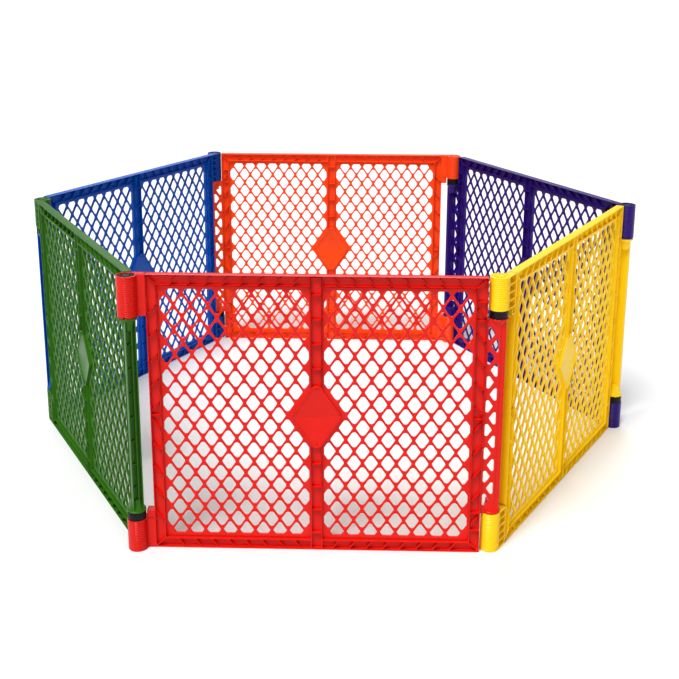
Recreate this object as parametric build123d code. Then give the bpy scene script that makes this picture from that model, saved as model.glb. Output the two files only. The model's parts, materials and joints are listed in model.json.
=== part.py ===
"""A folding play pen: six hinged lattice panels that stand in a hexagon.

Millimetres, +Z up. The origin is the middle of the pen's bounding box, on the floor.

One panel is drawn flat: X runs along it from the knuckle axis to the post axis, Y runs towards
the inside of the pen, and Z runs up. Every second panel is the same moulding turned upside down.
"""
from build123d import *
import math
import os

# ---- The whole pen -------------------------------------------------------------------------------
panel_pitch = 813.0        # from one hinge axis to the next, measured along the panel
panel_height = 660.0       # floor to top rail
panel_depth = 21.0         # thickness of the rails and stiles
fold_gap = 3.0             # air between two panels that are folded flat together
panels = [("red", False), ("yellow", True), ("purple", False),
          ("orange", True), ("blue", False), ("green", True)]    # name, upside down
open_corner = "blue"       # the panel whose knuckles let the next post lift away

# ---- Rails and stiles ----------------------------------------------------------------------------
frame_start = 40.0         # knuckle axis to the first stile
knuckle_clearance = 3.5    # air between the last stile and the next panel's knuckles
rail_width = 25.0
stile_width = 25.0
centre_stile_width = 26.0
flange_wall = 2.5          # the two walls that stand out from each rail and stile
web_wall = 2.5             # the sheet between them
rib_wall = 2.0             # the ribs that cross the channels

# ---- Lattice -------------------------------------------------------------------------------------
cell_width = 38.3          # wished spacing of the holes along the panel
cell_height = 57.4         # wished spacing of the holes up the panel
strand_width = 4.6
lattice_depth = 6.0
side_margin = 14.4         # bay's side to the middle of the half holes
end_margin = 18.0          # bay's top or bottom to the middle of the first row
side_border = 4.0          # plain edge beside the half holes
end_border = 9.0           # plain edge above the top holes and below the bottom holes

# ---- Plaque on the centre stile ------------------------------------------------------------------
plaque_half_width = 56.0
plaque_half_height = 74.0
plaque_tip_cut = 2.0       # how much of each side tip is cut off
plaque_clearance = 9.6     # from the plaque to the middle of the nearest hole that is kept
plaque_rim = 3.0
plaque_dish = 2.5          # how far the plaque's face lies below its rim

# ---- Hinges --------------------------------------------------------------------------------------
hinge_zone = 95.0          # height of a knuckle with its bush, at each end of the panel
collar_height = 18.5       # black bush that shows above the short knuckle
axial_gap = 0.5            # air between a post and the knuckles above and below it
running_gap = 0.05         # radial air round a pin that turns, and round a bush in its seat
collar_inset = 1.5         # how much smaller than the knuckle the collar is
collar_spigot_radius = 14.0
collar_spigot_length = 30.0
collar_land = 4.0          # plain ring between the lower pin and the collar's teeth
knuckle_rim = 3.5          # wall round the plug's head
plug_head_height = 12.0
plug_recess = 1.5
plug_shaft_radius = 11.0
pin_radius = 8.0           # both pins that the post turns on
pin_reach = 24.0           # how far a pin goes into the post
pin_end_gap = 1.0          # air past the pin's end
tooth_count = 12
tooth_depth = 3.0
tooth_width = 3.2
pocket_count = 4           # pockets in the web between a knuckle and its stile
pocket_wall = 3.0
pocket_depth = 6.0
cutter_overrun = 1.0       # how far a cut runs past the face it opens

# ---- Post ----------------------------------------------------------------------------------------
post_flange_radius = 21.5
post_flange_height = 6.0
post_hub_radius = 13.0
post_hub_height = 32.0
post_channel_start = 4.0   # from the axis, away from the panel
post_channel_stop = 17.0
post_channel_width = 25.0
post_wall = 2.5
strip_depth = 5.0          # sheet between the last stile and the post
strip_post_border = 2.0    # plain edge between its half holes and the post's channel
strip_end_border = 9.0     # plain edge above and below its half holes

# ---- Worked out from the values above ------------------------------------------------------------
hinge_offset = (panel_depth + fold_gap) / 2            # hinge axes lie this far off the mid-plane
knuckle_radius = hinge_offset + panel_depth / 2        # tangent to the panel's other face
half_depth = panel_depth / 2
frame_stop = knuckle_radius + knuckle_clearance        # last stile to the post axis
frame_end = panel_pitch - frame_stop
centre_x = (frame_start + frame_end) / 2
bay_height = panel_height - 2 * rail_width
bay_width = (frame_end - frame_start - 2 * stile_width - centre_stile_width) / 2
columns = round((bay_width - 2 * side_margin) / cell_width)
rows = 2 * round((bay_height - 2 * end_margin) / cell_height / 2)
pitch_x = (bay_width - 2 * side_margin) / columns
pitch_z = (bay_height - 2 * end_margin) / rows
strand_slope = pitch_z / pitch_x
strand_angle = math.atan(strand_slope)
first_row_z = rail_width + end_margin
half_hole_width = pitch_x / 2 - strand_width / 2 / math.sin(strand_angle)
half_hole_height = half_hole_width * strand_slope
short_knuckle_height = hinge_zone - axial_gap - collar_height
post_bottom = hinge_zone
post_top = panel_height - hinge_zone
bays = (frame_start + stile_width, centre_x + centre_stile_width / 2)    # left side of each


def sheet(outline, holes, depth):
    """A flat sheet of this depth, with its mid-plane on the panel's, from outlines in X and Z."""
    outer = Wire.make_polygon([(x, 0, z) for x, z in outline])
    inner = [Wire.make_polygon([(x, 0, z) for x, z in hole]) for hole in holes]
    face = Face(outer, inner)
    return Solid.extrude(face.moved(Location((0, -depth / 2, 0))), Vector(0, depth, 0))


def rectangle(x0, z0, x1, z1):
    return [(x0, z0), (x1, z0), (x1, z1), (x0, z1)]


def rib(start, stop, width):
    """The outline of a straight rib between two points, level or slanted."""
    along = Vector(stop[0] - start[0], 0, stop[1] - start[1]).normalized()
    side = Vector(-along.Z, 0, along.X) * (width / 2)
    return [(start[0] + side.X, start[1] + side.Z), (start[0] - side.X, start[1] - side.Z),
            (stop[0] - side.X, stop[1] - side.Z), (stop[0] + side.X, stop[1] + side.Z)]


def joined(outlines):
    """One flat shape in the XZ plane from outlines that overlap."""
    shapes = [Face(Wire.make_polygon([(x, 0, z) for x, z in outline])) for outline in outlines]
    return shapes[0].fuse(*shapes[1:]).clean()


def thick(flat, depth):
    """A flat shape given this depth, half on each side of the panel's mid-plane."""
    solids = [Solid.extrude(face.moved(Location((0, -depth / 2, 0))), Vector(0, depth, 0))
              for face in flat.faces()]
    return solids[0] if len(solids) == 1 else Compound(children=solids)


def both_ends(outlines):
    """The outlines, and the same ones turned over to the other end of the panel."""
    return outlines + [[(x, panel_height - z) for x, z in reversed(outline)] for outline in outlines]


def block(x0, y0, z0, x1, y1, z1):
    return Pos((x0 + x1) / 2, (y0 + y1) / 2, (z0 + z1) / 2) * Box(x1 - x0, y1 - y0, z1 - z0)


def drum(x, y, radius, z0, z1):
    return Pos(x, y, (z0 + z1) / 2) * Cylinder(radius, z1 - z0)


def hole_outline(x, z, low_x=-math.inf, high_x=math.inf, low_z=-math.inf, high_z=math.inf):
    """One lattice hole: a diamond between the strands, trimmed to the limits given."""
    points = [(x + half_hole_width, z), (x, z + half_hole_height),
              (x - half_hole_width, z), (x, z - half_hole_height)]
    return clipped(points, low_x, high_x, low_z, high_z)


def clipped(points, low_x, high_x, low_z, high_z):
    """The part of an outline that lies between the limits."""
    for axis, limit, sign in ((0, low_x, 1), (0, high_x, -1), (1, low_z, 1), (1, high_z, -1)):
        kept = []
        for here, following in zip(points, points[1:] + points[:1]):
            a = sign * (here[axis] - limit)
            b = sign * (following[axis] - limit)
            if a >= 0:
                kept.append(here)
            if a * b < 0:
                share = a / (a - b)
                kept.append(tuple(p + share * (q - p) for p, q in zip(here, following)))
        points = kept
    return points


def bay_holes(left):
    """All the holes of the lattice that fills one bay, but for those under the plaque."""
    limits = (left + side_border, left + bay_width - side_border,
              rail_width + end_border, panel_height - rail_width - end_border)
    holes = []
    for half_row in range(2 * rows + 1):
        z = first_row_z + half_row * pitch_z / 2
        shift = 0.5 if half_row % 2 == 0 else 0.0
        for column in range(columns + (half_row % 2)):
            x = left + side_margin + (column + shift) * pitch_x
            reach_x = abs(x - centre_x) / (plaque_half_width + plaque_clearance)
            reach_z = abs(z - panel_height / 2) / (plaque_half_width + plaque_clearance) / strand_slope
            if reach_x + reach_z > 1:
                holes.append(hole_outline(x, z, *limits))
    return holes


def frame_ribs():
    """Mitre ribs at the two bottom corners, and level ribs up the lower half of the centre stile."""
    half_wall = flange_wall / 2
    ribs = []
    for outer, side in ((frame_start, 1), (frame_end, -1)):
        ribs.append(rib((outer + side * half_wall, half_wall),
                        (outer + side * (stile_width - half_wall), rail_width - half_wall),
                        rib_wall))
    reach = centre_stile_width / 2 - half_wall
    for row in range(1, rows // 2 - 1):
        z = first_row_z + row * pitch_z
        ribs.append(rib((centre_x - reach, z), (centre_x + reach, z), rib_wall))
    return ribs


def plaque_outline(inset):
    """A diamond whose sides follow the strands, with its four points cut off."""
    half_width = plaque_half_width + plaque_tip_cut - inset / math.sin(strand_angle)
    half_height = half_width * strand_slope
    wide = plaque_half_width - inset
    tall = plaque_half_height - inset
    side_z = (half_width - wide) * strand_slope
    end_x = (half_height - tall) / strand_slope
    quarter = [(wide, side_z), (end_x, tall)]
    points = quarter + [(-x, z) for x, z in reversed(quarter)]
    points += [(-x, -z) for x, z in quarter] + [(x, -z) for x, z in reversed(quarter)]
    return [(centre_x + x, panel_height / 2 + z) for x, z in points]


def panel_frame():
    """Rails, stiles, ribs, lattice and plaque: one moulding with flat faces only."""
    wall = flange_wall
    left, right, top = frame_start, frame_end, panel_height
    inner_left = left + stile_width - wall
    inner_right = right - stile_width + wall
    inner_low = rail_width - wall
    walls = [rectangle(left, 0, left + wall, top), rectangle(right - wall, 0, right, top),
             rectangle(inner_left, inner_low, inner_left + wall, top - inner_low),
             rectangle(inner_right - wall, inner_low, inner_right, top - inner_low)]
    walls += both_ends([rectangle(left, 0, right, wall),
                        rectangle(inner_left, inner_low, inner_right, rail_width)])
    for side in (-1, 1):
        x = centre_x + side * (centre_stile_width - wall) / 2
        walls.append(rectangle(x - wall / 2, 0, x + wall / 2, top))
    standing = thick(joined(walls + both_ends(frame_ribs())), panel_depth)
    standing -= sheet(plaque_outline(plaque_rim), [], panel_depth)
    overlap = wall / 2
    windows = [rectangle(start - overlap, rail_width - overlap,
                         start + bay_width + overlap, top - rail_width + overlap)
               for start in bays]
    web = sheet(rectangle(left, 0, right, top), windows, web_wall)
    lattices = [sheet(window, bay_holes(start), lattice_depth)
                for start, window in zip(bays, windows)]
    face = sheet(plaque_outline(0), [], panel_depth - 2 * plaque_dish)
    rim = sheet(plaque_outline(0), [plaque_outline(plaque_rim)], panel_depth)
    return standing.fuse(web, *lattices, face, rim).clean()


def knuckle(low, height, seats):
    """A barrel on the knuckle axis with the web that ties it to the stile, seats cut through it."""
    y = -hinge_offset
    body = drum(0, y, knuckle_radius, low, low + height)
    body += block(0, -half_depth, low, frame_start, half_depth, low + height)
    pocket_start = knuckle_radius + pocket_wall
    pocket_height = (height - pocket_wall * (pocket_count + 1)) / pocket_count
    for number in range(pocket_count):
        z = low + pocket_wall + number * (pocket_height + pocket_wall)
        body -= block(pocket_start, half_depth - pocket_depth, z,
                      frame_start - pocket_wall, half_depth + cutter_overrun, z + pocket_height)
    for radius, z0, z1 in seats:
        body -= drum(0, y, radius, z0, z1)
    return body


def teeth(x, y, inner, outer, z0, z1):
    """Radial bars that are cut out of an end face to leave teeth."""
    bar = Pos((inner + outer) / 2, 0, 0) * Box(outer - inner, tooth_width, z1 - z0)
    bars = [Pos(x, y, (z0 + z1) / 2) * Rot(0, 0, number * 360 / tooth_count) * bar
            for number in range(tooth_count)]
    return bars[0].fuse(*bars[1:])


def short_knuckle():
    spigot_low = short_knuckle_height - collar_spigot_length
    body = knuckle(0, short_knuckle_height,
                   [(collar_spigot_radius + running_gap, spigot_low, short_knuckle_height)])
    side = block(knuckle_radius + axial_gap, -half_depth, short_knuckle_height,
                 frame_start, half_depth, hinge_zone - axial_gap)
    return body + side - teeth(0, -hinge_offset, pin_radius, knuckle_radius - knuckle_rim,
                               0, tooth_depth)


def long_knuckle():
    low = post_top + axial_gap
    head_low = panel_height - plug_recess - plug_head_height
    return knuckle(low, panel_height - low,
                   [(knuckle_radius - knuckle_rim + running_gap, head_low, panel_height),
                    (plug_shaft_radius + running_gap, low, head_low)])


def toothed_collar(has_pin):
    """The black bush that stands on the short knuckle and carries the post's lower pin."""
    y = -hinge_offset
    top = hinge_zone - axial_gap
    radius = knuckle_radius - collar_inset
    body = drum(0, y, radius, short_knuckle_height, top)
    body -= teeth(0, y, pin_radius + collar_land, radius + cutter_overrun, top - tooth_depth, top)
    body += drum(0, y, collar_spigot_radius,
                 short_knuckle_height - collar_spigot_length, short_knuckle_height)
    if has_pin:
        body += drum(0, y, pin_radius, short_knuckle_height, post_bottom + pin_reach)
    return body


def toothed_plug(has_pin):
    """The black plug that fills the long knuckle and carries the post's upper pin."""
    y = -hinge_offset
    head_top = panel_height - plug_recess
    head_low = head_top - plug_head_height
    low = post_top + axial_gap
    head_radius = knuckle_radius - knuckle_rim
    body = drum(0, y, head_radius, head_low, head_top)
    body -= teeth(0, y, pin_radius, head_radius + cutter_overrun, head_top - tooth_depth, head_top)
    body += drum(0, y, plug_shaft_radius, low, head_low)
    if has_pin:
        body += drum(0, y, pin_radius, post_top - pin_reach, low)
    return body


def hinge_post():
    """The upright that turns between the two knuckles, with the strip that ties it to its panel."""
    x = panel_pitch
    y = hinge_offset
    half_width = post_channel_width / 2
    post = None
    for low, inward in ((post_bottom, 1), (post_top, -1)):
        flange = drum(x, y, post_flange_radius, *sorted((low, low + inward * post_flange_height)))
        hub = drum(x, y, post_hub_radius, *sorted((low, low + inward * post_hub_height)))
        post = flange + hub if post is None else post + flange + hub
    post += block(x + post_channel_start, y - half_width, post_bottom,
                  x + post_channel_start + post_wall, y + half_width, post_top)
    for side in (-1, 1):
        wall_y = y + side * (half_width - post_wall / 2)
        post += block(x + post_channel_start, wall_y - post_wall / 2, post_bottom,
                      x + post_channel_stop, wall_y + post_wall / 2, post_top)
    for row in range(rows + 1):
        z = first_row_z + row * pitch_z
        if post_bottom + post_hub_height < z < post_top - post_hub_height:
            post += block(x + post_channel_start, y - half_width, z - rib_wall / 2,
                          x + post_channel_stop - rib_wall, y + half_width, z + rib_wall / 2)
    post += sheet(rectangle(frame_end, post_bottom, x + post_channel_start + post_wall, post_top),
                  strip_holes(), strip_depth)
    seat = pin_reach + pin_end_gap
    for z0, z1 in ((post_bottom, post_bottom + seat), (post_top - seat, post_top)):
        post -= drum(x, y, pin_radius + running_gap, z0, z1)
    return post


def strip_holes():
    """Half holes that leave one zigzag strand between the last stile and the post."""
    low_x = frame_end + side_border
    high_x = panel_pitch + post_channel_start - strip_post_border
    holes = []
    for half_row in range(2 * rows + 1):
        z = first_row_z + half_row * pitch_z / 2
        clear = strip_end_border + half_hole_height
        if post_bottom + clear < z < post_top - clear:
            x = low_x if half_row % 2 == 1 else high_x
            holes.append(hole_outline(x, z, low_x=low_x, high_x=high_x))
    return holes


def place(shape, number, upside_down):
    """Turn a panel's piece over if asked, and carry it to its side of the hexagon."""
    if upside_down:
        shape = Pos(0, 0, panel_height) * Rot(180, 0, 0) * shape
    shift = hinge_offset / math.sqrt(3)
    knuckle_x = -panel_pitch / 2 + (shift if upside_down else -shift)
    flat_distance = panel_pitch * math.sqrt(3) / 2
    side = Rot(0, 0, 60 * number) * Pos(knuckle_x, -flat_distance, 0)
    return Pos(-2 * shift, 0, 0) * side * shape


def main():
    os.makedirs("parts", exist_ok=True)
    shared = {"panel": panel_frame(), "long_knuckle": long_knuckle(),
              "short_knuckle": short_knuckle(), "hinge_post": hinge_post()}
    for number, (colour, upside_down) in enumerate(panels):
        has_pin = colour != open_corner
        pieces = dict(shared, toothed_collar=toothed_collar(has_pin),
                      toothed_plug=toothed_plug(has_pin))
        for name, shape in pieces.items():
            export_step(place(shape, number, upside_down), f"parts/{colour}_{name}.step")
        print(colour, "upside down" if upside_down else "upright", len(pieces), "pieces")


main()
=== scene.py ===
# %% [markdown]
# # A folding play pen in six colours
#
# The pen is a ring of six lattice panels, moulded in bright polypropylene and hinged at their ends.
# All six are one moulding: every second panel is simply turned upside down. So this script draws one
# panel, carefully, and then sets six copies of it round a hexagon, each on its own CAD body.
# The CAD model already says where every hinge is. We read those places first and hang all the
# detail on them: rounded lattice, ribbed channels, grooved knuckles and toothed bushes.

# %% Load the fixed frame
import json
import math
import bmesh
import bpy
from mathutils import Matrix, Vector
from mathutils.geometry import tessellate_polygon


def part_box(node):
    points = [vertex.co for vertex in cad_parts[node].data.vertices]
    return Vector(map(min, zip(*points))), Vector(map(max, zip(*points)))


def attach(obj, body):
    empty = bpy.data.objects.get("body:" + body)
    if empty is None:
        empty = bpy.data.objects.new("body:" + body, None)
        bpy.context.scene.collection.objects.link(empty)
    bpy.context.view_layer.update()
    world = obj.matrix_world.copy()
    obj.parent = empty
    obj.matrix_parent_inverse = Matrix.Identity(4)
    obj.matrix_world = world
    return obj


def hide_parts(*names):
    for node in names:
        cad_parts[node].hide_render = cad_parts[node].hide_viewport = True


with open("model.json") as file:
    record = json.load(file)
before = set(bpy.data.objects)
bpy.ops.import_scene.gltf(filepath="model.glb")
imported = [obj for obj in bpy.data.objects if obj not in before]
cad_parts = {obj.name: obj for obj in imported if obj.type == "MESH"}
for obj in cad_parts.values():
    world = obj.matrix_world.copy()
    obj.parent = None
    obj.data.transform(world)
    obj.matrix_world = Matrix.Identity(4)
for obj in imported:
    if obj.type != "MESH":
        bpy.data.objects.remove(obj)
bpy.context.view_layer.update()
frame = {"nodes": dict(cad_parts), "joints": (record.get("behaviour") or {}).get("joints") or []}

# %% [markdown]
# ## Sizes that come from the frame
#
# The red panel runs along the X axis, so its box gives the panel's height and depth directly.
# The two hinges at its ends give the pitch, and how far each hinge axis lies off the mid-plane.
# We work in metres, and `MM` keeps the small sizes of the moulding readable.

# %% Read the panel's main sizes
MM = 0.001
joint_at = {joint["name"]: Vector(joint["pos_m"]) for joint in frame["joints"]}
red_low, red_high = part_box("red_panel")
knuckle_low, knuckle_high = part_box("red_long_knuckle")
post_low, post_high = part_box("red_hinge_post")
knuckle_axis = joint_at["front_left_fold"]
post_axis = joint_at["front_right_fold"]

PITCH = post_axis.x - knuckle_axis.x
HEIGHT = red_high.z
DEPTH = red_high.y - red_low.y
MID_Y = (red_high.y + red_low.y) / 2
OFFSET = MID_Y - knuckle_axis.y
FRAME_START = red_low.x - knuckle_axis.x
FRAME_END = red_high.x - knuckle_axis.x
CENTRE = (FRAME_START + FRAME_END) / 2
KNUCKLE_RADIUS = knuckle_axis.x - knuckle_low.x
POST_BOTTOM, POST_TOP = post_low.z, post_high.z
LONG_LOW = knuckle_low.z
print(f"pitch {PITCH:.3f} m, height {HEIGHT:.3f} m, depth {DEPTH:.4f} m, offset {OFFSET:.4f} m")

# %% [markdown]
# ## Sizes of the moulding's detail
#
# A moulder gets stiffness from thin walls, not from thick ones: every rail and stile is an H in
# section, two standing flanges with a thin web between them, and small ribs that stop it twisting.
# The lattice is set back from the faces, so that it shades itself and looks deep.

# %% Name the detail sizes
RAIL = 25 * MM
STILE = 25 * MM
CENTRE_STILE = 26 * MM
WALL = 2.5 * MM
RIB = 1.8 * MM
WEB = 2.5 * MM
STRAND = 4.6 * MM
LATTICE_DEPTH = 6 * MM
SIDE_MARGIN = 14.4 * MM
END_MARGIN = 18 * MM
SIDE_BORDER = 4 * MM
END_BORDER = 9 * MM
HOLE_CORNER = 6.5 * MM
CUT_CORNER = 4 * MM
COLUMNS = 8
ROWS = 10

BAY_WIDTH = (FRAME_END - FRAME_START - 2 * STILE - CENTRE_STILE) / 2
BAY_LEFTS = (FRAME_START + STILE, CENTRE + CENTRE_STILE / 2)
PITCH_X = (BAY_WIDTH - 2 * SIDE_MARGIN) / COLUMNS
PITCH_Z = (HEIGHT - 2 * RAIL - 2 * END_MARGIN) / ROWS
SLOPE = PITCH_Z / PITCH_X
STRAND_ANGLE = math.atan(SLOPE)
ROW_Z = [RAIL + END_MARGIN + row * PITCH_Z for row in range(ROWS + 1)]
print(f"lattice cell {PITCH_X / MM:.1f} by {PITCH_Z / MM:.1f} mm")
print(f"strands lean {math.degrees(STRAND_ANGLE):.0f} degrees")

# %% [markdown]
# ## Colour and node helpers
#
# Paint and plastic colours are written as sRGB hex values, because that is how people read them.
# Shaders compute in linear light, so one function converts. A second small function adds a node,
# sets its values and wires its inputs; every plastic below is built with it.

# %% Define the two helpers
def linear(hex_colour):
    """An sRGB hex colour as the linear red, green, blue and alpha that a shader wants."""
    parts = [int(hex_colour[i:i + 2], 16) / 255 for i in (1, 3, 5)]
    return [c / 12.92 if c <= 0.04045 else ((c + 0.055) / 1.055) ** 2.4 for c in parts] + [1.0]


def add_node(tree, kind, settings=None, inputs=None):
    """Add a node; an input is either a value or the output socket that feeds it."""
    node = tree.nodes.new(kind)
    for name, value in (settings or {}).items():
        setattr(node, name, value)
    for name, value in (inputs or {}).items():
        if isinstance(value, bpy.types.NodeSocket):
            tree.links.new(value, node.inputs[name])
        else:
            node.inputs[name].default_value = value
    return node


# %% [markdown]
# ## Injection-moulded polypropylene
#
# Each panel is semi-gloss polypropylene, coloured right through. Its surface copies the steel mould:
# almost smooth, with a faint spark-eroded grain that breaks up reflections, and slow waves where the
# wall cooled unevenly round the ribs. The pigment is not perfectly even either.
# So the shader needs four things: a typical polymer IOR of about 1.49, roughness near 0.35 that
# drifts a little, a fine grain bump, and a slight change of colour. The real grain is about
# 0.1 mm; at that size it would vanish, so it is drawn at about 0.8 mm and kept very shallow.
# One value is not typical. White surroundings put a pale veil on strong colours, so the specular
# level is set at 0.2 instead of 0.5. That keeps the pigment deep, and costs some light on the edges.

# %% Make the moulded plastic
GRAIN = 0.8 * MM
WAVE = 60 * MM
POLYMER_IOR = 1.49
SPECULAR_LEVEL = 0.2


def moulded_plastic(name, colour, deeper, roughness=0.34):
    """A semi-gloss plastic whose colour drifts between two shades."""
    material = bpy.data.materials.new(name)
    material.use_nodes = True
    tree = material.node_tree
    shader = tree.nodes["Principled BSDF"]
    place = add_node(tree, "ShaderNodeTexCoord").outputs["Object"]
    wave = add_node(tree, "ShaderNodeTexNoise", inputs={
        "Vector": place, "Scale": 1 / WAVE, "Detail": 3.0, "Roughness": 0.55})
    grain = add_node(tree, "ShaderNodeTexNoise", inputs={
        "Vector": place, "Scale": 1 / GRAIN, "Detail": 2.0, "Roughness": 0.5})
    pigment = add_node(tree, "ShaderNodeMix", {"data_type": "RGBA"}, {
        "Factor": wave.outputs["Fac"]})
    pigment.inputs[6].default_value = linear(colour)
    pigment.inputs[7].default_value = linear(deeper)
    gloss = add_node(tree, "ShaderNodeMapRange", inputs={
        "Value": wave.outputs["Fac"], "From Min": 0.3, "From Max": 0.7,
        "To Min": roughness - 0.05, "To Max": roughness + 0.07})
    bump = add_node(tree, "ShaderNodeBump", inputs={
        "Height": grain.outputs["Fac"], "Strength": 0.08, "Distance": 0.15 * MM})
    tree.links.new(pigment.outputs[2], shader.inputs["Base Color"])
    tree.links.new(gloss.outputs["Result"], shader.inputs["Roughness"])
    tree.links.new(bump.outputs["Normal"], shader.inputs["Normal"])
    shader.inputs["IOR"].default_value = POLYMER_IOR
    shader.inputs["Specular IOR Level"].default_value = SPECULAR_LEVEL
    return material


PLASTICS = {
    "red": moulded_plastic("red_polypropylene", "#DE190C", "#CE1006"),
    "yellow": moulded_plastic("yellow_polypropylene", "#FFD916", "#FFCC0A"),
    "purple": moulded_plastic("purple_polypropylene", "#2E1278", "#260D68"),
    "orange": moulded_plastic("orange_polypropylene", "#FF4C10", "#F43E08"),
    "blue": moulded_plastic("blue_polypropylene", "#0458C4", "#034CAE"),
    "green": moulded_plastic("green_polypropylene", "#2E6A06", "#245A04"),
}
print("plastics:", ", ".join(PLASTICS))

# %% [markdown]
# The bushes are a harder plastic, black acetal. It is slippery, which a hinge wants, and so it looks
# slightly waxy: darker and a little duller than the panels, with a soft sheen on its edges. It is
# moulded in the same way, so the same recipe serves, with a higher roughness.

# %% Make the black acetal
BLACK_ACETAL = moulded_plastic("black_acetal", "#0D0D10", "#08080A", roughness=0.42)
print("bushes:", BLACK_ACETAL.name)

# %% [markdown]
# ## Rounded outlines
#
# Nearly everything on this panel is a flat shape given some depth: the lattice, the rails with their
# ribbed channels, the plaque. We could model boxes and cut holes with booleans, but hundreds
# of cuts are slow and leave ragged edges. It is neater to draw the outline and the holes, round
# their corners, and build the sheet between them, with a small rounded edge all the way round.
# A mould has no sharp corners either: the steel is radiused so that the plastic flows and lets go.
# Two limits keep an outline sound: an arc may take just under half of a side, so that two arcs never
# meet, and a very sharp corner is not pushed out further than a fixed multiple.

# %% Round the corners of an outline
SHARE_OF_SIDE = 0.48
SHARPEST_CORNER = 0.3


def rounded(points, radius, steps=4):
    """The outline with an arc at each corner, inside and outside corners alike."""
    result = []
    count = len(points)
    for i in range(count):
        here = Vector(points[i])
        back = Vector(points[i - 1]) - here
        ahead = Vector(points[(i + 1) % count]) - here
        half = back.angle(ahead) / 2
        reach = min(radius / math.tan(half), back.length * SHARE_OF_SIDE,
                    ahead.length * SHARE_OF_SIDE)
        r = reach * math.tan(half)
        centre = here + (back.normalized() + ahead.normalized()).normalized() * (r / math.sin(half))
        start = here + back.normalized() * reach - centre
        stop = here + ahead.normalized() * reach - centre
        turn = start.angle_signed(stop)
        for k in range(steps + 1):
            a = -turn * k / steps
            result.append((centre.x + start.x * math.cos(a) - start.y * math.sin(a),
                           centre.y + start.x * math.sin(a) + start.y * math.cos(a)))
    return result


def signed_area(points):
    return sum(a[0] * b[1] - b[0] * a[1] for a, b in zip(points, points[1:] + points[:1])) / 2


def counter_clockwise(points):
    return points if signed_area(points) > 0 else points[::-1]


def moved_in(points, distance):
    """The outline, given counter-clockwise, with each side moved inwards by this distance."""
    result = []
    count = len(points)
    for i in range(count):
        a, b, c = Vector(points[i - 1]), Vector(points[i]), Vector(points[(i + 1) % count])
        first, second = (b - a).normalized(), (c - b).normalized()
        n1, n2 = Vector((-first.y, first.x)), Vector((-second.y, second.x))
        n = n1 + n2
        scale = distance / max(n.length_squared / 2, SHARPEST_CORNER)
        result.append((b.x + n.x * scale, b.y + n.y * scale))
    return result


test_square = rounded([(0, 0), (1, 0), (1, 1), (0, 1)], 0.2)
print("a rounded unit square has area", round(signed_area(test_square), 3))

# %% [markdown]
# ## A sheet with rounded edges
#
# `Shape` collects the corners and faces of one piece. Its `sheet` method takes an outline and holes
# and stacks rings of corners: the flat face, a quarter round, the wall, a quarter round and the
# other face. The flat faces are filled by Blender's own polygon filler, which copes with holes.
# Sheets may be drawn upright (along the panel) or in plan (looking down), so it also takes a
# function that says where a point of the drawing lies in space.

# %% Define the shape builder
def upright(a, b, depth):
    """Drawing seen from outside the pen: along the panel and up, with depth towards its middle."""
    return (a, depth, b)


def in_plan(a, b, depth):
    """Drawing seen from above, with depth as the height."""
    return (a, b, depth)


class Shape:
    """Corners and faces of one piece, gathered before the mesh is made."""

    def __init__(self):
        self.corners = []
        self.faces = []

    def ring(self, points, depth, lay):
        """Add one ring of corners at a depth, and return their numbers."""
        start = len(self.corners)
        self.corners += [lay(a, b, depth) for a, b in points]
        return list(range(start, start + len(points)))

    def wall(self, lower, upper, flip=False):
        """Join two rings of equal count with a band of faces."""
        count = len(lower)
        for i in range(count):
            j = (i + 1) % count
            face = (lower[i], lower[j], upper[j], upper[i])
            self.faces.append(face[::-1] if flip else face)

    def fill(self, rings, flip=False):
        """Close a flat face: the first ring is its outline and the others are holes in it."""
        flat = [index for ring in rings for index in ring]
        loops = [[Vector(self.corners[index]) for index in ring] for ring in rings]
        for triangle in tessellate_polygon(loops):
            face = [flat[k] for k in triangle]
            self.faces.append(tuple(face[::-1] if flip else face))

    def sheet(self, outline, holes, low, high, edge, lay=upright, steps=2):
        """A flat shape from depth low to high, its edges rounded by this much."""
        outline = counter_clockwise(outline)
        holes = [counter_clockwise(opening) for opening in holes]
        levels = []
        for step in range(steps + 1):
            a = math.pi / 2 * step / steps
            levels.append((edge * (1 - math.sin(a)), edge * (1 - math.cos(a))))
        profile = [(inset, low + rise) for inset, rise in levels]
        profile += [(inset, high - rise) for inset, rise in reversed(levels)]
        caps = {0: [], len(profile) - 1: []}
        for loop, side in [(outline, 1)] + [(opening, -1) for opening in holes]:
            rings = [self.ring(moved_in(loop, side * inset), depth, lay) for inset, depth in profile]
            for lower, upper in zip(rings, rings[1:]):
                self.wall(lower, upper, flip=side < 0)
            for level in caps:
                caps[level].append(rings[level])
        for level, rings in caps.items():
            self.fill(rings)

    def turned(self, profile, centre, change, segments=144):
        """A closed profile of (radius, height) turned about an upright axis, then changed by angle."""
        rings = []
        for radius, height in profile:
            ring = []
            for k in range(segments):
                angle = 2 * math.pi * k / segments
                r, z = change(radius, height, angle)
                ring.append(len(self.corners))
                self.corners.append((centre[0] + r * math.cos(angle),
                                     centre[1] + r * math.sin(angle), z))
            rings.append(ring)
        for lower, upper in zip(rings, rings[1:] + rings[:1]):
            self.wall(lower, upper)

    def box(self, low, high, edge=0.4 * MM):
        """A plain bar between two corners, with slightly rounded upright edges."""
        outline = [(low[0], low[1]), (high[0], low[1]), (high[0], high[1]), (low[0], high[1])]
        self.sheet(outline, [], low[2], high[2], edge, lay=in_plan, steps=1)

    def mesh(self, name, smooth_below=40):
        """The finished mesh: normals outwards, rounded edges smooth, real edges sharp."""
        made = bpy.data.meshes.new(name)
        made.from_pydata(self.corners, [], self.faces)
        made.validate()
        tidy = bmesh.new()
        tidy.from_mesh(made)
        bmesh.ops.recalc_face_normals(tidy, faces=tidy.faces)
        tidy.to_mesh(made)
        tidy.free()
        made.shade_smooth()
        made.set_sharp_from_angle(angle=math.radians(smooth_below))
        return made


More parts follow.
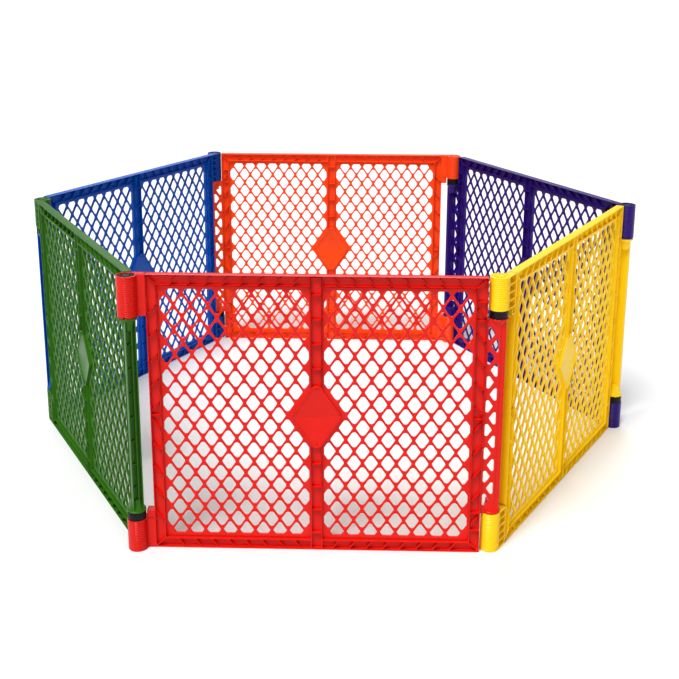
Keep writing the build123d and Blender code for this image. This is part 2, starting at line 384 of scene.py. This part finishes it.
unit = Shape()
unit.sheet([(0, 0), (1, 0), (1, 1), (0, 1)],
           [[(0.3, 0.3), (0.7, 0.3), (0.7, 0.7), (0.3, 0.7)]], 0, 0.1, 0.02)
print("a square sheet with one hole:", len(unit.faces), "faces")

# %% [markdown]
# ## The lattice
#
# Strands cross at a steep angle and leave diamond holes, with generous radii in their corners.
# Rows of eight whole holes alternate with rows of seven, which have a cut hole more at each end,
# flat against the stile. The top and bottom rows are cut flat by the rail. One function draws any of
# these holes: it trims a diamond to the bay's plain border, and rounds whatever corners are left.
# The plaque takes the place of the holes in the middle.

# %% Draw the lattice holes
FAR = 9.0
LATTICE_EDGE = 1.2 * MM
PLAQUE_HALF_WIDTH = 56 * MM
PLAQUE_HALF_HEIGHT = 74 * MM


def trimmed(points, low_x, high_x, low_z, high_z):
    """The part of an outline that lies between the limits."""
    for axis, limit, sign in ((0, low_x, 1), (0, high_x, -1), (1, low_z, 1), (1, high_z, -1)):
        kept = []
        for here, following in zip(points, points[1:] + points[:1]):
            a = sign * (here[axis] - limit)
            b = sign * (following[axis] - limit)
            if a >= 0:
                kept.append(here)
            if a * b < 0:
                share = a / (a - b)
                kept.append(tuple(p + share * (q - p) for p, q in zip(here, following)))
        points = kept
    return points


def hole(x, z, low_x=-FAR, high_x=FAR, low_z=-FAR, high_z=FAR):
    """One rounded diamond hole about a centre; FAR, well outside the panel, means no limit."""
    half_width = PITCH_X / 2 - STRAND / 2 / math.sin(STRAND_ANGLE)
    half_height = half_width * SLOPE
    diamond = [(x + half_width, z), (x, z + half_height), (x - half_width, z), (x, z - half_height)]
    outline = trimmed(diamond, low_x, high_x, low_z, high_z)
    return rounded(outline, HOLE_CORNER if len(outline) == 4 else CUT_CORNER, steps=3)


def bay_holes(left):
    """All the holes of one bay, apart from those that the plaque covers."""
    limits = (left + SIDE_BORDER, left + BAY_WIDTH - SIDE_BORDER,
              RAIL + END_BORDER, HEIGHT - RAIL - END_BORDER)
    holes = []
    for half_row in range(2 * ROWS + 1):
        z = ROW_Z[0] + half_row * PITCH_Z / 2
        shift = 0.5 if half_row % 2 == 0 else 0.0
        for column in range(COLUMNS + (half_row % 2)):
            x = left + SIDE_MARGIN + (column + shift) * PITCH_X
            reach = PLAQUE_HALF_WIDTH + PITCH_X / 4
            if abs(x - CENTRE) / reach + abs(z - HEIGHT / 2) / (reach * SLOPE) > 1:
                holes.append(hole(x, z, *limits))
    return holes


def lattice(shape):
    """Both bays' lattice, each let half a wall into the rails and stiles round it."""
    overlap = WALL / 2
    for left in BAY_LEFTS:
        window = [(left - overlap, RAIL - overlap), (left + BAY_WIDTH + overlap, RAIL - overlap),
                  (left + BAY_WIDTH + overlap, HEIGHT - RAIL + overlap),
                  (left - overlap, HEIGHT - RAIL + overlap)]
        shape.sheet(window, bay_holes(left), -LATTICE_DEPTH / 2, LATTICE_DEPTH / 2, LATTICE_EDGE)


print("holes in one bay:", len(bay_holes(BAY_LEFTS[0])))

# %% [markdown]
# ## Rails and stiles
#
# Seen from the front, a rail is two bright lips with a shadowed channel between them. The channel is
# crossed by small slanted ribs, one at each column of holes. The outer stiles have ribs that lean at
# about 45 degrees and a level one half way up, and the stile beside the post has two more level ones
# near each end. A mitre rib runs across each corner of the frame, where two channels meet.
#
# All those walls are one moulding. So we draw the front view once, as a big rectangle, and give it the
# full depth. It has one opening for the two bays, which join behind the plaque, and one for each
# pocket between ribs. A pocket is four-sided: two sides are flanges and the other two are ribs, so
# it is enough to walk along the channel.

# %% Draw the pockets of a channel
POCKET_CORNER = 1.5 * MM
RAIL_RIB_RUN = 6.7 * MM
RAIL_RIB_SHIFT = 2.6 * MM
STILE_RIB_START = 9 * MM
STILE_RIB_STOP = 32 * MM
HINGE_RIBS = (55 * MM, 98 * MM)
PLAQUE_TO_RIB = 10 * MM
LIP_INTO_PLAQUE = 9 * MM
BAY_CORNER = 1 * MM
WALL_EDGE = 0.7 * MM


def pockets(start, ribs, stop, near, far, level=True):
    """The openings between slanted ribs; each rib is its place on the near and far flange."""
    crossings = [start] + sorted(ribs) + [stop]
    result = []
    for first, second in zip(crossings, crossings[1:]):
        sides = []
        for crossing, towards in ((first, 1), (second, -1)):
            lean = math.hypot(crossing[1] - crossing[0], far - near) / abs(far - near)
            thick = towards * RIB / 2 * lean
            sides.append(((crossing[0] + thick, near), (crossing[1] + thick, far)))
        (first_near, first_far), (second_near, second_far) = sides
        outline = [first_near, second_near, second_far, first_far]
        if not level:
            outline = [(across, along) for along, across in outline]
        result.append(rounded(outline, POCKET_CORNER, steps=2))
    return result


def rail_pockets():
    """Both channels of the bottom rail, left and right of the centre stile."""
    near, far = WALL, RAIL - WALL
    inner_left, inner_right = CENTRE - CENTRE_STILE / 2, CENTRE + CENTRE_STILE / 2
    result = []
    for bay, mirror, start, stop in (
            (BAY_LEFTS[0], 1, (FRAME_START + near, FRAME_START + far), (inner_left, inner_left)),
            (BAY_LEFTS[1], -1, (inner_right, inner_right), (FRAME_END - near, FRAME_END - far))):
        ribs = []
        for column in range(COLUMNS):
            x = bay + SIDE_MARGIN + (column + 0.5) * PITCH_X + mirror * RAIL_RIB_SHIFT
            ribs.append((x + mirror * RAIL_RIB_RUN, x - mirror * RAIL_RIB_RUN))
        result += pockets(start, ribs, stop, near, far)
    return result


def stile_pockets(outer, side, level_ribs):
    """The channel of one outer stile; side is 1 for the left stile and -1 for the right one."""
    near, far = outer + side * WALL, outer + side * (STILE - WALL)
    ribs = [(z, z) for z in level_ribs]
    for row in range(ROWS // 2, ROWS):
        low, high = ROW_Z[row] + STILE_RIB_START, ROW_Z[row] + STILE_RIB_STOP
        ribs += [(low, high), (HEIGHT - low, HEIGHT - high)]
    start, stop = (WALL, STILE - WALL), (HEIGHT - WALL, HEIGHT - STILE + WALL)
    return pockets(start, ribs, stop, near, far, level=False)


CHANNEL_LEFT = CENTRE - CENTRE_STILE / 2 + WALL
CHANNEL_RIGHT = CENTRE + CENTRE_STILE / 2 - WALL
CENTRE_RIBS = [z for z in ROW_Z if z < HEIGHT / 2 - PLAQUE_HALF_HEIGHT - PLAQUE_TO_RIB]


def centre_pockets():
    """The lower part of the centre stile's channel, up to its last rib."""
    last = CENTRE_RIBS[-1]
    return pockets((WALL, WALL), [(z, z) for z in CENTRE_RIBS[:-1]], (last, last),
                   CHANNEL_LEFT, CHANNEL_RIGHT, level=False)


def both_bays():
    """One big opening: the two bays, joined behind the plaque, where the stile's lips stop."""
    left, right = BAY_LEFTS[0], BAY_LEFTS[1] + BAY_WIDTH
    inner = (BAY_LEFTS[0] + BAY_WIDTH, BAY_LEFTS[1])
    lip = HEIGHT / 2 - PLAQUE_HALF_HEIGHT + LIP_INTO_PLAQUE
    rib = CENTRE_RIBS[-1] + RIB / 2
    low = [(left, RAIL), (inner[0], RAIL), (inner[0], lip), (CHANNEL_LEFT, lip),
           (CHANNEL_LEFT, rib), (CHANNEL_RIGHT, rib), (CHANNEL_RIGHT, lip), (inner[1], lip),
           (inner[1], RAIL), (right, RAIL)]
    return rounded(low + [(x, HEIGHT - z) for x, z in reversed(low)], BAY_CORNER, steps=2)


def turned_over(outlines):
    """The same outlines as seen when the panel stands on its other end."""
    return [[(x, HEIGHT - z) for x, z in outline] for outline in outlines]


def walls_and_web(shape):
    """The full-depth walls, cut by bays and pockets, and the thin web inside rails and stiles."""
    bottom = rail_pockets() + centre_pockets()
    level_ribs = [*HINGE_RIBS, HEIGHT / 2] + [HEIGHT - z for z in HINGE_RIBS]
    openings = bottom + turned_over(bottom)
    openings += stile_pockets(FRAME_START, 1, [HEIGHT / 2])
    openings += stile_pockets(FRAME_END, -1, level_ribs)
    outline = [(FRAME_START, 0), (FRAME_END, 0), (FRAME_END, HEIGHT), (FRAME_START, HEIGHT)]
    shape.sheet(outline, [both_bays()] + openings, -DEPTH / 2, DEPTH / 2, WALL_EDGE)
    inset = 1 * MM
    bays = [[(left, RAIL), (left + BAY_WIDTH, RAIL), (left + BAY_WIDTH, HEIGHT - RAIL),
             (left, HEIGHT - RAIL)] for left in BAY_LEFTS]
    windows = [moved_in(bay, -inset) for bay in bays]
    shape.sheet(moved_in(outline, inset), windows, -WEB / 2, WEB / 2, 0.2 * MM, steps=1)


print("pockets in the bottom rail:", len(rail_pockets()))

# %% [markdown]
# ## The plaque
#
# In the middle of each panel the mould maker left a diamond plaque with a raised rim and a smooth,
# slightly dished face. On sale it would carry a label; here it stays plain. Its sides follow the
# strands. The dish is drawn as a few smaller and smaller outlines that sink along a gentle curve.
# Three short ribs stand at its top and bottom, where the face would otherwise be weak.

# %% Draw the plaque
PLAQUE_RIM = 3 * MM
PLAQUE_DISH = 2.5 * MM
PLAQUE_TIP = 2 * MM
PLAQUE_CORNER = 9 * MM
DISH_RUN = 3.2 * MM
DISH_STEPS = 6
SHORT_RIB_SPACING = 12 * MM
SHORT_RIB_LENGTH = 11 * MM
SHORT_RIB = 1.6 * MM


def plaque_outline(inset):
    """The diamond with its top and bottom tips cut off, its corners round, drawn in by this much."""
    tip = PLAQUE_HALF_WIDTH + PLAQUE_TIP
    points = [(CENTRE + tip, HEIGHT / 2), (CENTRE, HEIGHT / 2 + tip * SLOPE),
              (CENTRE - tip, HEIGHT / 2), (CENTRE, HEIGHT / 2 - tip * SLOPE)]
    cut = trimmed(points, -FAR, FAR,
                  HEIGHT / 2 - PLAQUE_HALF_HEIGHT, HEIGHT / 2 + PLAQUE_HALF_HEIGHT)
    return moved_in(counter_clockwise(rounded(cut, PLAQUE_CORNER, steps=6)), inset)


def plaque_ribs(shape, side):
    """Three short ribs at the top and three at the bottom of one face."""
    face = DEPTH / 2
    low_depth, high_depth = sorted((side * (face - 0.4 * MM), side * (face - PLAQUE_DISH * 1.2)))
    for x in (CENTRE - SHORT_RIB_SPACING, CENTRE, CENTRE + SHORT_RIB_SPACING):
        for end in (-1, 1):
            tip = HEIGHT / 2 + end * (PLAQUE_HALF_HEIGHT - PLAQUE_RIM / 2)
            low, high = sorted((tip, tip - end * SHORT_RIB_LENGTH))
            left, right = x - SHORT_RIB / 2, x + SHORT_RIB / 2
            shape.sheet([(left, low), (right, low), (right, high), (left, high)], [],
                        low_depth, high_depth, 0.3 * MM)


def plaque(shape):
    """The rim, and on each side a dished face with a flat back, and its short ribs."""
    face = DEPTH / 2
    shape.sheet(plaque_outline(0), [plaque_outline(PLAQUE_RIM)], -face, face, 0.9 * MM, steps=3)
    for side in (-1, 1):
        rings = []
        for step in range(DISH_STEPS + 1):
            share = step / DISH_STEPS
            sink = PLAQUE_DISH * (1 + share * share * (2 - share)) / 2
            rings.append(shape.ring(plaque_outline(PLAQUE_RIM / 2 + DISH_RUN * share),
                                    side * (face - sink), upright))
        for outer, inner in zip(rings, rings[1:]):
            shape.wall(outer, inner, flip=side > 0)
        shape.fill([rings[-1]], flip=side < 0)
        back = shape.ring(plaque_outline(PLAQUE_RIM / 2), 0, upright)
        shape.wall(back, rings[0], flip=side > 0)
        shape.fill([back])
        plaque_ribs(shape, side)


panel = Shape()
walls_and_web(panel)
lattice(panel)
plaque(panel)
print("one panel:", len(panel.faces), "faces")

# %% [markdown]
# ## Knuckles
#
# A knuckle is a thick barrel on the hinge axis. Its outside is grooved in fine level rings, which give
# a hand something to grip when the pen is folded, except for one smooth sector where the two halves
# of the mould part. A web ties the barrel to the stile: a flat plate outside, and inside it a stack
# of open compartments with level ribs between them. The long knuckle has a rim round its black
# plug. The short one ends in moulded radial teeth and carries the black collar.

# %% Draw the barrels
GROOVE_PITCH = 4.2 * MM
GROOVE_DEPTH = 1.1 * MM
SMOOTH_FROM, SMOOTH_TO = math.radians(180), math.radians(263)
POINTS_IN_A_GROOVE = 8
BARREL_EDGE = 1.2 * MM
SLIVER = 0.01 * MM
TOOTH_COUNT = 12
KNUCKLE = (0.0, -OFFSET)
RIM_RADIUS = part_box("red_toothed_plug")[1].x - knuckle_axis.x
PLUG_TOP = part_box("red_toothed_plug")[1].z
COLLAR_SPIGOT = 30 * MM
SHORT_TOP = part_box("red_toothed_collar")[0].z + COLLAR_SPIGOT


def grooved(radius, height, angle):
    """Rings cut into the outside of the barrel, but not into its smooth sector."""
    if radius < KNUCKLE_RADIUS - SLIVER or SMOOTH_FROM <= angle <= SMOOTH_TO:
        return radius, height
    wave = max(0.0, math.cos(2 * math.pi * height / GROOVE_PITCH)) ** 0.7
    return radius - GROOVE_DEPTH * wave, height


def barrel_side(low, high):
    """Points up the outside of a barrel, close enough together to show the grooves."""
    length = high - low - 2 * BARREL_EDGE
    count = round(length / GROOVE_PITCH * POINTS_IN_A_GROOVE)
    middle = [(KNUCKLE_RADIUS, low + BARREL_EDGE + length * k / count) for k in range(count + 1)]
    near = BARREL_EDGE * 0.3
    return ([(KNUCKLE_RADIUS - BARREL_EDGE, low), (KNUCKLE_RADIUS - near, low + near)] + middle
            + [(KNUCKLE_RADIUS - near, high - near), (KNUCKLE_RADIUS - BARREL_EDGE, high)])


def long_barrel(shape):
    """The barrel with a rim round its plug at the outer end, and a bore for the pin."""
    bore = 11.1 * MM
    socket = RIM_RADIUS + 0.1 * MM
    lead_in = 0.6 * MM
    seat = PLUG_TOP - 12 * MM
    notch_half_width, notch_height = 4 * MM, 3.6 * MM
    inside = [(socket + lead_in, HEIGHT), (socket, HEIGHT - lead_in),
              (socket, seat), (bore, seat), (bore, LONG_LOW)]

    def notched(radius, height, angle):
        """One scallop in the inner end, over the smooth sector's edge."""
        radius, height = grooved(radius, height, angle)
        away = abs(angle - SMOOTH_TO) * KNUCKLE_RADIUS / notch_half_width
        notch = max(0.0, 1 - away) ** 0.6
        if height < LONG_LOW + notch_height:
            height += (LONG_LOW + notch_height - height) * notch
        return radius, height

    shape.turned(barrel_side(LONG_LOW, HEIGHT) + inside, KNUCKLE, change=notched)


def short_barrel(shape):
    """The barrel with moulded teeth in its outer end and a socket for the collar's spigot."""
    core, hub, ring = 0.5 * MM, 8 * MM, 14 * MM
    socket = 14.1 * MM
    slot_depth, tooth = 3 * MM, 1.6 * MM
    slots = (hub, RIM_RADIUS)
    seat = SHORT_TOP - COLLAR_SPIGOT
    inside = [(socket, SHORT_TOP), (socket, seat), (core, seat), (core, 0),
              (hub, 0), (hub + 0.1 * MM, SLIVER), (ring, SLIVER),
              (RIM_RADIUS - 0.1 * MM, SLIVER), (RIM_RADIUS, 0)]

    def toothed(radius, height, angle):
        """Radial slots in the outer end, between moulded teeth."""
        radius, height = grooved(radius, height, angle)
        if slots[0] < radius < slots[1] and height < 10 * SLIVER:
            step = 2 * math.pi / TOOTH_COUNT
            off = abs((angle + step / 2) % step - step / 2) * radius
            height = slot_depth if off < tooth else 0.0
        return radius, height

    shape.turned(barrel_side(0, SHORT_TOP) + inside, KNUCKLE, change=toothed)


print(f"barrels {(HEIGHT - LONG_LOW) / MM:.1f} and {SHORT_TOP / MM:.1f} mm long")

# %% [markdown]
# The web between barrel and stile is drawn as plates. The outer plate is flush with the panel's face.
# The level ribs stop at the inner face, about 18 mm apart, so that the steel core can pull straight
# out between them.

# %% Draw the webs and finish the knuckles
COMPARTMENT = 18 * MM
WEB_PLATE = 4 * MM
WEB_RIB = 2.2 * MM
WEB_BITE = 1.8 * MM
WEB_ARC_STEPS = 12
STILE_OVERLAP = 0.5 * MM
COLLAR_GAP = 0.5 * MM
COLLAR_TOP = POST_BOTTOM - COLLAR_GAP
WEB_START = -DEPTH / 2 + WEB_PLATE / 2


def web_plate(shape, low, high, side_low, side_high):
    """A level plate whose near edge follows the barrel, between two depths of the panel."""
    radius = KNUCKLE_RADIUS - WEB_BITE
    first, last = (math.asin(max(-1.0, min(1.0, (side + OFFSET) / radius)))
                   for side in (side_low, side_high))
    angles = [first + (last - first) * k / WEB_ARC_STEPS for k in range(WEB_ARC_STEPS + 1)]
    curve = [(radius * math.cos(a), radius * math.sin(a) - OFFSET) for a in angles]
    if curve[-1][1] < side_high:
        curve.append((curve[-1][0], side_high))
    reach = FRAME_START + STILE_OVERLAP
    outline = [(reach, side_low)] + curve + [(reach, side_high)]
    shape.sheet(outline, [], low, high, 0.3 * MM, lay=in_plan, steps=1)


def knuckle_web(shape, low, high):
    """The outer plate, the wall against the stile, and the level ribs between."""
    half = DEPTH / 2
    web_plate(shape, low, high, -half, -half + WEB_PLATE)
    shape.box((FRAME_START - WALL, WEB_START, low), (FRAME_START + STILE_OVERLAP, half, high))
    count = max(1, round((high - low) / COMPARTMENT))
    for k in range(count + 1):
        z = low + (high - low - WEB_RIB) * k / count
        web_plate(shape, z, z + WEB_RIB, WEB_START, half)


def collar_web(shape, low, high):
    """The same web where it passes the black collar, a little clear of it."""
    half, start = DEPTH / 2, KNUCKLE_RADIUS + COLLAR_GAP
    reach = FRAME_START + STILE_OVERLAP
    shape.box((start, -half, low), (reach, -half + WEB_PLATE, high))
    shape.box((start, WEB_START, high - WEB_RIB), (reach, half, high))
    shape.box((start, WEB_START, low), (start + 2 * MM, half, high))


long_knuckle = Shape()
long_barrel(long_knuckle)
knuckle_web(long_knuckle, LONG_LOW, HEIGHT)
short_knuckle = Shape()
short_barrel(short_knuckle)
knuckle_web(short_knuckle, 0.0, SHORT_TOP)
collar_web(short_knuckle, SHORT_TOP - WEB_RIB, COLLAR_TOP)
print("knuckles:", len(long_knuckle.faces), "and", len(short_knuckle.faces), "faces")

# %% [markdown]
# ## The hinge post
#
# At the panel's other end stands the post. It is an open channel, so that the moulding has no thick
# parts, and it is stiffened by level ribs in step with the lattice. At both ends its walls flare
# into a scalloped flange, which meets the black bush of the next panel. A thin perforated strip, one
# zigzag strand with half holes on both sides, ties the post to its own stile.

# %% Draw the post
POST = (PITCH, OFFSET)
CHANNEL_START, CHANNEL_STOP = 4 * MM, 17 * MM
CHANNEL_HALF = 12.5 * MM
CHANNEL_WALL = 2.5 * MM
FLANGE_RADIUS = 21.5 * MM
FLANGE = 6 * MM
FLANGE_EDGE = 0.8 * MM
SCALLOP = 1.1 * MM
FLARE_STEP = 2.5 * MM
FLARE_STEPS = 8
HUB_RADIUS = 13 * MM
HUB_HEIGHT = 31 * MM
PIN_BORE = 8.1 * MM
PIN_BORE_DEPTH = 26 * MM
SPINE_OFFSET = 2.2 * MM
STRIP_DEPTH = 5 * MM
STRIP_END = 30 * MM


def post_end(shape, end, inward):
    """A flange with a scalloped face, and the curved flare that runs from it into the channel."""
    face_start = 12 * MM
    profile = [(PIN_BORE, 0), (face_start, 0), (FLANGE_RADIUS - FLANGE_EDGE, 0),
               (FLANGE_RADIUS, FLANGE_EDGE), (FLANGE_RADIUS, FLANGE - FLANGE_EDGE),
               (FLANGE_RADIUS - FLANGE_EDGE, FLANGE)]
    for step in range(FLARE_STEPS + 1):
        share = step / FLARE_STEPS
        radius = HUB_RADIUS + (FLANGE_RADIUS - FLARE_STEP - HUB_RADIUS) * (1 - share) ** 2
        profile.append((radius, FLANGE + (HUB_HEIGHT - FLANGE) * share))
    core = 0.3 * MM
    profile += [(core, HUB_HEIGHT), (core, PIN_BORE_DEPTH), (PIN_BORE, PIN_BORE_DEPTH)]

    def scalloped(radius, height, angle):
        """Waves in the outer part of the flange's face, one for each tooth of the bush."""
        if radius > face_start + 3 * MM and height < 1 * MM:
            height += SCALLOP * (1 - math.cos(TOOTH_COUNT * angle)) / 2
        return radius, end + inward * height

    shape.turned(profile, POST, change=scalloped)


def strip_holes():
    """Half holes down both sides of the strip, in step with the lattice."""
    low_x = FRAME_END + SIDE_BORDER
    high_x = PITCH + 2 * MM
    holes = []
    for half_row in range(2 * ROWS + 1):
        z = ROW_Z[0] + half_row * PITCH_Z / 2
        if POST_BOTTOM + STRIP_END < z < POST_TOP - STRIP_END:
            x = low_x if half_row % 2 == 1 else high_x
            holes.append(hole(x, z, low_x=low_x, high_x=high_x))
    return holes


def post_channel(shape):
    """The open channel, its upright spine and the level ribs inside it."""
    x, y = POST
    start, stop = x + CHANNEL_START, x + CHANNEL_STOP
    back = start + CHANNEL_WALL
    low, high = y - CHANNEL_HALF, y + CHANNEL_HALF
    channel = [(start, low), (stop, low), (stop, low + CHANNEL_WALL), (back, low + CHANNEL_WALL),
               (back, high - CHANNEL_WALL), (stop, high - CHANNEL_WALL), (stop, high), (start, high)]
    shape.sheet(rounded(channel, 1.1 * MM), [], POST_BOTTOM + 3 * MM, POST_TOP - 3 * MM,
                0.2 * MM, lay=in_plan, steps=1)
    spine = y - SPINE_OFFSET
    shape.box((back - 1 * MM, spine - 1 * MM, POST_BOTTOM + 4 * MM),
              (stop - 2.5 * MM, spine + 1 * MM, POST_TOP - 4 * MM))
    for z in ROW_Z:
        if POST_BOTTOM + HUB_HEIGHT < z < POST_TOP - HUB_HEIGHT:
            shape.box((back - 1 * MM, spine, z - RIB / 2),
                      (stop - 4 * MM, high - 1 * MM, z + RIB / 2))


def post_strip(shape):
    """The thin perforated strip from the panel's own stile to the back of the channel."""
    near, far = FRAME_END - 1 * MM, POST[0] + CHANNEL_START + CHANNEL_WALL - 0.5 * MM
    outline = [(near, POST_BOTTOM), (far, POST_BOTTOM), (far, POST_TOP), (near, POST_TOP)]
    shape.sheet(outline, strip_holes(), -STRIP_DEPTH / 2, STRIP_DEPTH / 2, 0.9 * MM)


post = Shape()
post_channel(post)
post_end(post, POST_BOTTOM, 1)
post_end(post, POST_TOP, -1)
post_strip(post)
print("post:", len(post.faces), "faces")

# %% [markdown]
# ## Six copies round the hexagon
#
# A copy is carried from the drawing to its side by one matrix: turned over if it is one of the
# upside-down ones, moved so that the ring's middle lies at the origin, and turned by sixths of
# a circle. Each copy rides on its own CAD body, so it moves when the pen folds. Afterwards we
# compare it with the CAD panel's box, because a wrong matrix is easy to write and hard to see.

# %% Place the copies
SIDES = [("red", False), ("yellow", True), ("purple", False),
         ("orange", True), ("blue", False), ("green", True)]
SHIFT = OFFSET / math.sqrt(3)
MOULDINGS = {"panel": panel.mesh("panel_mesh"), "long_knuckle": long_knuckle.mesh("long_mesh"),
             "short_knuckle": short_knuckle.mesh("short_mesh"), "hinge_post": post.mesh("post_mesh")}


def side_matrix(number, upside_down):
    """The matrix that carries the drawing to side number 0 to 5 of the hexagon."""
    over = Matrix.Identity(4)
    if upside_down:
        over = Matrix.Translation((0, 0, HEIGHT)) @ Matrix.Rotation(math.pi, 4, "X")
    knuckle_x = -PITCH / 2 + (SHIFT if upside_down else -SHIFT)
    out = Matrix.Translation((knuckle_x, -PITCH * math.sqrt(3) / 2, 0))
    turn = Matrix.Rotation(math.radians(60 * number), 4, "Z")
    return Matrix.Translation((-2 * SHIFT, 0, 0)) @ turn @ out @ over


for number, (colour, upside_down) in enumerate(SIDES):
    matrix = side_matrix(number, upside_down)
    for part, shared in MOULDINGS.items():
        mesh = shared.copy()
        mesh.name = f"{colour}_{part}_moulding"
        mesh.transform(matrix)
        mesh.materials.append(PLASTICS[colour])
        piece = bpy.data.objects.new(mesh.name, mesh)
        bpy.context.scene.collection.objects.link(piece)
        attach(piece, f"{colour}_side")
        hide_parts(f"{colour}_{part}")
        corners = [v.co for v in mesh.vertices]
        low = Vector([min(corner[k] for corner in corners) for k in range(3)])
        high = Vector([max(corner[k] for corner in corners) for k in range(3)])
        cad_low, cad_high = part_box(f"{colour}_{part}")
        gap = max((low - cad_low).length, (high - cad_high).length)
        print(f"{mesh.name}: corners within {gap / MM:.2f} mm of the CAD node")

# %% [markdown]
# ## The black bushes
#
# The collars and plugs are simple turned parts, and the CAD already has their teeth and pins. They
# are shown as they are, and only take the acetal's finish. It goes on the object's own slot, not on
# the mesh, so the CAD's mesh stays untouched.

# %% Dress the bushes
for name, node in frame["nodes"].items():
    if "_toothed_" in name:
        for slot in node.material_slots:
            slot.link = "OBJECT"
            slot.material = BLACK_ACETAL
print("bushes dressed:", sum("_toothed_" in name for name in frame["nodes"]))

# %% [markdown]
# ## Floor and light
#
# Toys are shown on a white sweep, in broad soft light. A large pale floor does the same here.
# A pale sky fills every hollow. The main light comes from above the viewer's left shoulder, a
# weaker one from the right opens its shadows, and a third from behind draws a pale line along the
# top rails. All three are suns with a wide spread, so that the floor stays evenly white.

# %% Build the studio
FLOOR_RADIUS = 60
FLOOR_SIDES = 64
FLOOR_DROP = 0.5 * MM

scene = bpy.context.scene
floor_mesh = bpy.data.meshes.new("studio_floor")
turns = [2 * math.pi * k / FLOOR_SIDES for k in range(FLOOR_SIDES)]
edge = [(FLOOR_RADIUS * math.cos(a), FLOOR_RADIUS * math.sin(a), -FLOOR_DROP) for a in turns]
floor_mesh.from_pydata(edge, [], [tuple(range(FLOOR_SIDES))])
floor = bpy.data.objects.new("studio_floor", floor_mesh)
scene.collection.objects.link(floor)
paper = bpy.data.materials.new("white_paper")
paper.use_nodes = True
paper_shader = paper.node_tree.nodes["Principled BSDF"]
paper_shader.inputs["Base Color"].default_value = linear("#EDEDED")
paper_shader.inputs["Roughness"].default_value = 0.9
floor_mesh.materials.append(paper)

world = bpy.data.worlds.new("white_sky")
world.use_nodes = True
sky = world.node_tree.nodes["Background"]
sky.inputs["Color"].default_value = linear("#FFFFFF")
sky.inputs["Strength"].default_value = 0.2
scene.world = world


def soft_sun(name, towards, spread, strength):
    """Even light from far away, softened as by a wide diffuser."""
    light = bpy.data.lights.new(name, "SUN")
    light.angle = math.radians(spread)
    light.energy = strength
    lamp = bpy.data.objects.new(name, light)
    lamp.rotation_euler = Vector(towards).to_track_quat("-Z", "Y").to_euler()
    scene.collection.objects.link(lamp)


soft_sun("key_sun", (0.30, 0.50, -1.0), 24, 3.5)
soft_sun("fill_sun", (-0.7, 0.6, -0.6), 70, 0.35)
soft_sun("back_sun", (0.05, -0.9, -0.75), 40, 1.1)
scene.view_settings.view_transform = "Standard"

# %% [markdown]
# ## Camera
#
# The pen is seen from the front, from three metres away and about 1.4 metres up. The camera is tilted
# down less than would put the pen in the middle, and its lens is shifted down to make up for it.
# That keeps the upright posts nearly parallel, as an architect's camera does with walls.

# %% Set the camera
SENSOR_WIDTH = 36
LENS = 59.328
SHIFT_DOWN = 0.15
EYE = (0.095, -3.027, 1.367)

camera_data = bpy.data.cameras.new("camera")
camera_data.sensor_width = SENSOR_WIDTH
camera_data.lens = LENS
camera_data.shift_y = -SHIFT_DOWN
camera = bpy.data.objects.new("camera", camera_data)
camera.location = EYE
azimuth, pitch, roll = math.radians(-1.45), math.radians(14.99), math.radians(0.21)
forward = Vector((math.sin(azimuth) * math.cos(pitch), math.cos(azimuth) * math.cos(pitch),
                  -math.sin(pitch)))
look = forward.to_track_quat("-Z", "Y").to_matrix().to_4x4()
camera.rotation_euler = (look @ Matrix.Rotation(roll, 4, "Z")).to_euler()
scene.collection.objects.link(camera)
scene.camera = camera
print("lens", round(camera_data.lens, 1), "mm")
